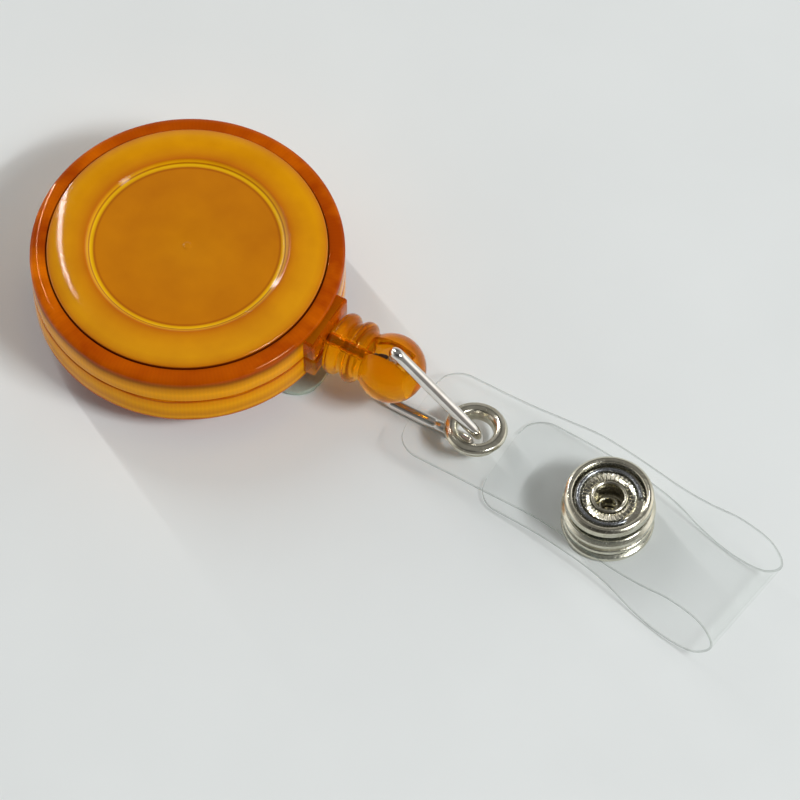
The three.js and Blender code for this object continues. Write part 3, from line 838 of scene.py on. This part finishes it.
# Two turns of the cord, pulled tight, and a tail that stands up into the slot.
KNOT_CORD_RADIUS = 0.28
KNOT_STEPS = 79
knot_x = drawn(middle_of("cord_knot")).x
knot_line = []
for k in range(KNOT_STEPS + 1):
    turn = 4 * math.pi * k / KNOT_STEPS
    knot_line.append((knot_x + 0.16 * math.cos(1.5 * turn), 0.18 + 0.2 * math.cos(turn),
                      CORD_AXIS + 0.12 + 0.2 * math.sin(turn)))
KNOT_TAIL = ((0.42, 0.36, 0.55), (0.8, 0.3, 0.85), (1.15, 0.25, 1.05))
tail = smooth_line([knot_line[-1]] + [(knot_x + x, y, CORD_AXIS + z) for x, y, z in KNOT_TAIL], 6)
piece(tube("cord_knot_v", knot_line + tail[1:], KNOT_CORD_RADIUS, 12), CORD, "black_nylon",
      "cord_end", "cord_knot")

# The cord between the boss and the fitting.
stretch = [(x, 0, CORD_AXIS) for x in (15.25, 15.6, 16.0, 16.6, 17.2, 17.8, 18.2, 18.55)]
pulled = tube("cord_pulled", stretch, CORD_RADIUS, 14, False)
paint(pulled, CORD)
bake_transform(pulled)

# ---------------------------------------------------------------- wire link
WIRE_RADIUS = 0.62
WIRE_BEND = 0.95
LOW = WIRE_RADIUS + 0.02
LINK_FAR = 34.0
link_path = rounded_path([
    (29.1, -0.2, LOW), (23.5, -0.2, LOW), (24.5, -0.3, 10.2), (24.8, -0.85, 12.15),
    (LINK_FAR, -0.2, 2.9), (LINK_FAR, -0.2, LOW), (29.4, -0.2, LOW),
], WIRE_BEND)
piece(tube("wire_link_v", link_path, WIRE_RADIUS, 28), LINK_NICKEL, "nickel", "link", "wire_link")

# ---------------------------------------------------------------- strap
STRAP_WIDTH = 11.8
STRAP_THICK = 0.26
STRAP_CORNER = 2.8
EYELET_X = drawn(middle_of("eyelet")).x
SNAP_X = drawn(middle_of("snap_socket")).x
# How much the strap's sideways slope grows with each millimetre from the eyelet to the snap.
STRAP_BEND = 0.0097
STRAP_START_Y = 0.2
EYELET_ROLL = math.radians(6)
# The strip seen from the side, from its upper end round the loop to its lower end. The places of
# the strip's points count in steps of this list.
STRAP_SIDE = [
    (27.2, 2.3), (31, 2.3), (EYELET_X, 2.3), (37.2, 2.5), (41, 3.15), (44.6, 3.93), (SNAP_X, 4.15),
    (54.4, 4.2), (57.9, 4.85), (61.4, 6.0), (65, 5.65), (66.85, 3.3), (65.3, 1.15),
    (61.4, 0.34), (57.4, 0.45), (54, 1.05), (SNAP_X, 1.1), (45, 0.98), (41, 0.6), (36.8, 0.35),
]
PER_POINT = 14
LOOP_STARTS = 8
# The loop leans to one side between the first and last of these places, most at the middle one.
LEAN_PLACES = (10, 12.8, 16)
LEAN = 1.1


def smoothstep(value, low, high):
    t = min(max((value - low) / (high - low), 0), 1)
    return t * t * (3 - 2 * t)


def strap_slope(x):
    return -STRAP_BEND * min(max(x - EYELET_X, 0), SNAP_X - EYELET_X)


def strap_y(x):
    """How far to the side the strap's middle line is."""
    bent = min(max(x - EYELET_X, 0), SNAP_X - EYELET_X)
    return STRAP_START_Y + strap_slope(x) * (bent / 2 + max(x - SNAP_X, 0))


def loop_drift(place):
    """How far the loop leans to one side."""
    start, most, end = LEAN_PLACES
    return LEAN * smoothstep(place, start, most) * (1 - smoothstep(place, most, end))


def strap_samples():
    line = smooth_line([(x, 0, z) for x, z in STRAP_SIDE], PER_POINT)
    lengths = [0]
    for a, b in zip(line, line[1:]):
        lengths.append(lengths[-1] + (b - a).length)
    samples = []
    for k, point in enumerate(line):
        place = k / PER_POINT
        run = (line[min(k + 1, len(line) - 1)] - line[max(k - 1, 0)]).normalized()
        slope = strap_slope(point.x)
        along = Vector((run.x, slope * run.x, run.z)).normalized()
        across = Vector((-slope, 1, 0)).normalized()
        if place < LOOP_STARTS:
            roll = -EYELET_ROLL * (1 - smoothstep(point.x, EYELET_X, SNAP_X - 3))
            across = Quaternion(along, roll) @ across
        middle = Vector((point.x, strap_y(point.x) - loop_drift(place), point.z))
        left = min(lengths[k], lengths[-1] - lengths[k])
        width = STRAP_WIDTH / 2 - cut_corner(STRAP_CORNER, left)
        samples.append((middle, across, along.cross(across), width))
    return samples, lengths[-1]


strap_rows, strap_length = strap_samples()
strap = ribbon("strap_v", strap_rows, STRAP_THICK, 4, 12)
eyelet_middle = Vector((EYELET_X, strap_y(EYELET_X), 0))
snap_middle = Vector((SNAP_X, strap_y(SNAP_X), 0))
carve(strap, "DIFFERENCE",
      round_hole("eyelet_hole", 2.4, 1.2, 3.4, 48, Matrix.Translation(eyelet_middle)),
      round_hole("socket_hole", 1.92, 3.8, 4.6, 48, Matrix.Translation(snap_middle)),
      round_hole("stud_hole", 0.9, 0.7, 1.5, 32, Matrix.Translation(snap_middle)),
      sharp=50)


def strap_places(obj):
    """Each point's place along the strip and its distance from the strip's edge."""
    middles = np.array([in_frame(*row[0]) for row in strap_rows])
    across = np.array([row[1] for row in strap_rows])
    widths = np.array([row[3] for row in strap_rows]) * MM
    count = len(obj.data.vertices)
    co = np.zeros(count * 3)
    obj.data.vertices.foreach_get("co", co)
    co = co.reshape(-1, 3)
    apart = co[:, None, :] - middles[None]
    side = np.einsum("ijk,jk->ij", apart, across)
    nearest = ((apart ** 2).sum(2) - side ** 2).argmin(1)
    inside = widths[nearest] - np.abs(side[np.arange(count), nearest])
    return nearest / PER_POINT, inside / MM


places, inside = strap_places(strap)
paint(strap, VINYL)
strap.data.materials.append(VINYL_EDGE.material)
for face in strap.data.polygons:
    if max(inside[v] for v in face.vertices) < STRAP_THICK / 2 + 0.03:
        face.material_index = 1
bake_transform(strap)
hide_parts("strap_upper", "strap_flap")


# ---------------------------------------------------------------- eyelet and snap
def on_strap(node, profile, at_x, body, steps=112, tilt=0.0, pivot=0.0, wave=None):
    """A turned nickel piece on the strap's middle line."""
    place = (Matrix.Translation((at_x, strap_y(at_x), pivot)) @ Matrix.Rotation(tilt, 4, "X")
             @ Matrix.Translation((0, 0, -pivot)))
    piece(lathe(node + "_v", fillet(profile), steps, place, wave, 28), NICKEL, "nickel", body, node)


on_strap("eyelet", [
    (1.85, 1.85, 0.2), (2.1, 1.65, 0.12), (2.6, 1.65, 0.12), (2.8, 1.85, 0.1), (2.7, 2.05, 0.08),
    (2.25, 2.05), (2.25, 2.55), (3.1, 2.55, 0.1), (3.3, 2.85, 0.3), (3.05, 3.2, 0.3),
    (2.55, 3.38, 0.4), (2.1, 3.22, 0.3), (1.85, 2.85, 0.3),
], EYELET_X, "strap", tilt=-EYELET_ROLL, pivot=2.3)


TEETH = 36
TOOTH_HEIGHT = 0.07


def serration(radius, height, turn):
    """The radial teeth round the socket's middle."""
    if 2.0 < radius < 2.76 and height > 5.0:
        return TOOTH_HEIGHT * math.cos(TEETH * turn)
    return 0


on_strap("snap_socket", [
    (1.95, 4.5), (4.2, 4.5, 0.15), (4.5, 4.75, 0.2), (4.5, 5.45, 0.3), (4.12, 5.75, 0.25),
    (3.72, 5.6, 0.2), (3.55, 4.85, 0.12), (2.82, 4.85, 0.1), (2.72, 5.16, 0.12), (2.3, 5.2, 0.1),
    (1.95, 5.1, 0.08),
], SNAP_X, "strap", steps=216, wave=serration)
on_strap("snap_socket_post", [
    (1.5, 2.55, 0.1), (4.3, 2.55, 0.25), (4.75, 2.9, 0.25), (4.75, 3.3, 0.25), (4.35, 3.72, 0.3),
    (1.85, 3.78, 0.05), (1.85, 5.2, 0.12), (1.65, 5.3, 0.1), (1.5, 5.2, 0.1),
], SNAP_X, "strap")
on_strap("snap_stud", [
    (0.75, 1.4, 0.05), (4.35, 1.4, 0.15), (4.7, 1.65, 0.15), (4.6, 2.0, 0.2), (3.6, 2.35, 0.3),
    (1.3, 2.35, 0.2), (0.95, 2.6, 0.1), (0.95, 3.0, 0.1), (1.1, 3.3, 0.15), (0.95, 3.6, 0.1),
    (0.75, 3.6, 0.05),
], SNAP_X, "flap")
on_strap("snap_stud_post", [
    (0.4, 0.02, 0.05), (4.3, 0.02, 0.15), (4.75, 0.3, 0.2), (4.65, 0.65, 0.15), (4.3, 0.82, 0.1),
    (0.7, 0.82), (0.7, 1.9, 0.05), (0.4, 1.9, 0.05),
], SNAP_X, "flap")

SPRING_RING = 3.15
SPRING_WIRE = 0.22
SPRING_HEIGHT = 5.1
spring_line = [(SNAP_X + SPRING_RING * math.cos(t), strap_y(SNAP_X) + SPRING_RING * math.sin(t),
                SPRING_HEIGHT) for t in np.linspace(math.radians(30), math.radians(330), 72)]
piece(tube("snap_spring_v", spring_line, SPRING_WIRE, 10), SPRING_STEEL, "spring_steel", "strap",
      "snap_spring")

# ---------------------------------------------------------------- stage
FLOOR_HALF = 3.0
FLOOR_Z = -0.00004
floor_mesh = bpy.data.meshes.new("floor")
floor_mesh.from_pydata([(x * FLOOR_HALF, y * FLOOR_HALF, FLOOR_Z)
                        for x, y in ((-1, -1), (1, -1), (1, 1), (-1, 1))], [], [(0, 1, 2, 3)])
floor = bpy.data.objects.new("floor", floor_mesh)
bpy.context.scene.collection.objects.link(floor)
ground = Look("pale_board", Roughness=0.8, IOR=1.3)
ground.color(ground.ramp(ground.noise(0.05, 3.0),
                         [(0.3, srgb(233, 236, 235)), (0.7, srgb(236, 239, 238))]))
floor.data.materials.append(ground.material)


def area_light(name, place, target, width, height, watts, color=(1, 1, 1)):
    data = bpy.data.lights.new(name, "AREA")
    data.shape = "RECTANGLE"
    data.size = width
    data.size_y = height
    data.energy = watts
    data.color = color
    obj = bpy.data.objects.new(name, data)
    obj.location = place
    obj.rotation_euler = (Vector(target) - Vector(place)).to_track_quat("-Z", "Y").to_euler()
    bpy.context.scene.collection.objects.link(obj)


COOL = (0.96, 0.985, 1.0)
area_light("key", (0.579, -0.03, 0.62), (0, 0, 0), 0.20, 0.035, 2.1, COOL)
area_light("key_soft", (0.60, -0.03, 0.64), (0, 0, 0), 0.30, 0.22, 2.6, COOL)
area_light("window", (-0.50, 0.22, 0.36), (-0.03, 0, 0.05), 0.012, 0.62, 1.4)

# A dim room, lighter low down, so that metal shows light and dark bands.
SKY_STRENGTH = 1.46
SKY = [(0.0, 0.70), (0.20, 0.95), (0.36, 0.85), (0.52, 0.30), (0.72, 0.12), (1.0, 0.16)]
SKY_TINT = (1.02, 1, 0.97)
# The walls behind the object (0) and in front of it (1) are dark, and those at its sides light.
WALLS = [(0.0, 0.3), (0.14, 0.42), (0.3, 1.0), (0.46, 1.0), (0.68, 0.5), (0.8, 0.2), (1.0, 0.2)]
TO_FRONT = (0.5, -0.866, 0.0)
world = bpy.data.worlds.new("studio")
world.use_nodes = True
bpy.context.scene.world = world
nodes, links = world.node_tree.nodes, world.node_tree.links
background = nodes["Background"]
background.inputs["Strength"].default_value = SKY_STRENGTH
coordinates = nodes.new("ShaderNodeTexCoord")
parts = nodes.new("ShaderNodeSeparateXYZ")
links.new(coordinates.outputs["Generated"], parts.inputs[0])
sky = nodes.new("ShaderNodeValToRGB")
links.new(parts.outputs["Z"], sky.inputs["Fac"])
set_stops(sky, [(position, (*(bright * part for part in SKY_TINT), 1)) for position, bright in SKY])
facing = nodes.new("ShaderNodeVectorMath")
facing.operation = "DOT_PRODUCT"
links.new(coordinates.outputs["Generated"], facing.inputs[0])
facing.inputs[1].default_value = TO_FRONT
halved = nodes.new("ShaderNodeMapRange")
set_inputs(halved, {"From Min": -1.0, "From Max": 1.0, "To Min": 0.0, "To Max": 1.0})
links.new(facing.outputs["Value"], halved.inputs["Value"])
shade_side = nodes.new("ShaderNodeFloatCurve")
curve = shade_side.mapping.curves[0]
curve.points[0].location = WALLS[0]
curve.points[-1].location = WALLS[-1]
for position, bright in WALLS[1:-1]:
    curve.points.new(position, bright)
shade_side.mapping.update()
links.new(halved.outputs["Result"], shade_side.inputs["Value"])
dimmed = nodes.new("ShaderNodeVectorMath")
dimmed.operation = "SCALE"
links.new(sky.outputs["Color"], dimmed.inputs[0])
links.new(shade_side.outputs["Value"], dimmed.inputs["Scale"])
links.new(dimmed.outputs["Vector"], background.inputs["Color"])

camera_data = bpy.data.cameras.new("camera")
camera_data.sensor_width = 36
camera_data.lens = 225
camera_data.clip_start = 0.01
camera = bpy.data.objects.new("camera", camera_data)
bpy.context.scene.collection.objects.link(camera)
# The camera's place, its direction and its lens were fitted to the photograph.
AZIMUTH, ELEVATION = math.radians(30.19), math.radians(59.42)
looking = Vector((-math.sin(AZIMUTH) * math.cos(ELEVATION),
                  math.cos(AZIMUTH) * math.cos(ELEVATION), -math.sin(ELEVATION)))
camera.location = in_frame(154.75, -223.18, 438.48)
camera.rotation_euler = looking.to_track_quat("-Z", "Y").to_euler()
bpy.context.scene.camera = camera
bpy.context.scene.view_settings.view_transform = "Standard"
